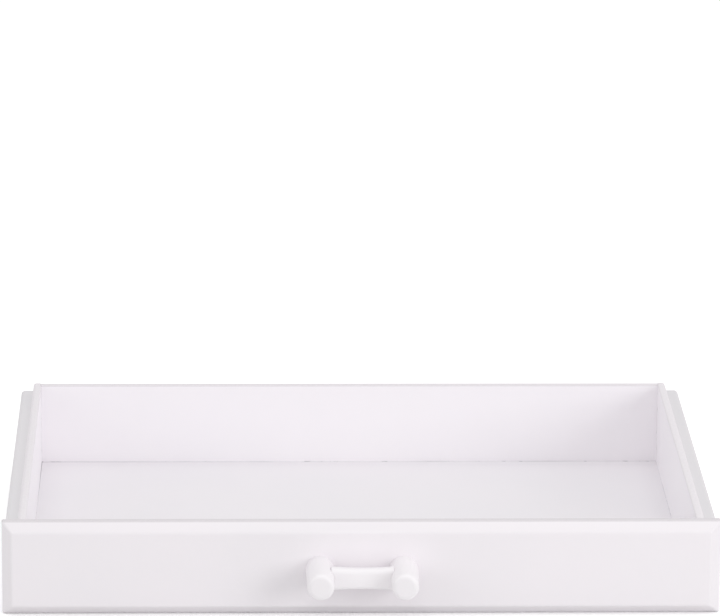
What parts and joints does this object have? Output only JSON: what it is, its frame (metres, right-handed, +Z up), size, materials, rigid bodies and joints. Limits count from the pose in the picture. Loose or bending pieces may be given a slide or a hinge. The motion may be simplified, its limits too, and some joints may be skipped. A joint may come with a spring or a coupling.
{
  "type": "shallow drawer tray",
  "caption": "Shallow flat-floored white drawer tray with a bevelled front panel, a post-and-bar bow handle, thin walls on a floor sheet and a runner strip along each side.",
  "frame": {"origin": "centre of the underside, midway between the front panel's face and the back of the box", "axes": "+X to the right seen from the front, +Y from the front panel to the back, +Z up out of the tray"},
  "size_m": [0.43, 0.335, 0.058],
  "materials": {
    "front_board": "satin white rigid foam board with soft bevels",
    "wall_board": "satin white rigid foam board",
    "floor_board": "satin white rigid foam board with open joint lines",
    "runner_board": "satin white rigid foam strip",
    "handle_plastic": "smooth white moulded plastic",
    "zinc_steel": "bright zinc plate",
    "insert_brass": "plain turned brass",
    "dowel_wood": "plain beech"
  },
  "bodies": {
    "root": {"front_panel": "front_board", "left_side_board": "wall_board", "right_side_board": "wall_board", "back_board": "wall_board", "bottom_board": "floor_board", "left_runner": "runner_board", "right_runner": "runner_board", "left_handle_post": "handle_plastic", "right_handle_post": "handle_plastic", "handle_bar": "handle_plastic", "left_handle_insert": "insert_brass", "right_handle_insert": "insert_brass", "left_handle_screw": "zinc_steel", "right_handle_screw": "zinc_steel", "left_handle_washer": "zinc_steel", "right_handle_washer": "zinc_steel", "left_front_dowels": "dowel_wood", "right_front_dowels": "dowel_wood", "left_runner_screws": "zinc_steel", "right_runner_screws": "zinc_steel", "left_back_pins": "zinc_steel", "right_back_pins": "zinc_steel", "left_floor_pins": "zinc_steel", "right_floor_pins": "zinc_steel", "rear_floor_pins": "zinc_steel"}
  },
  "joints": []
}
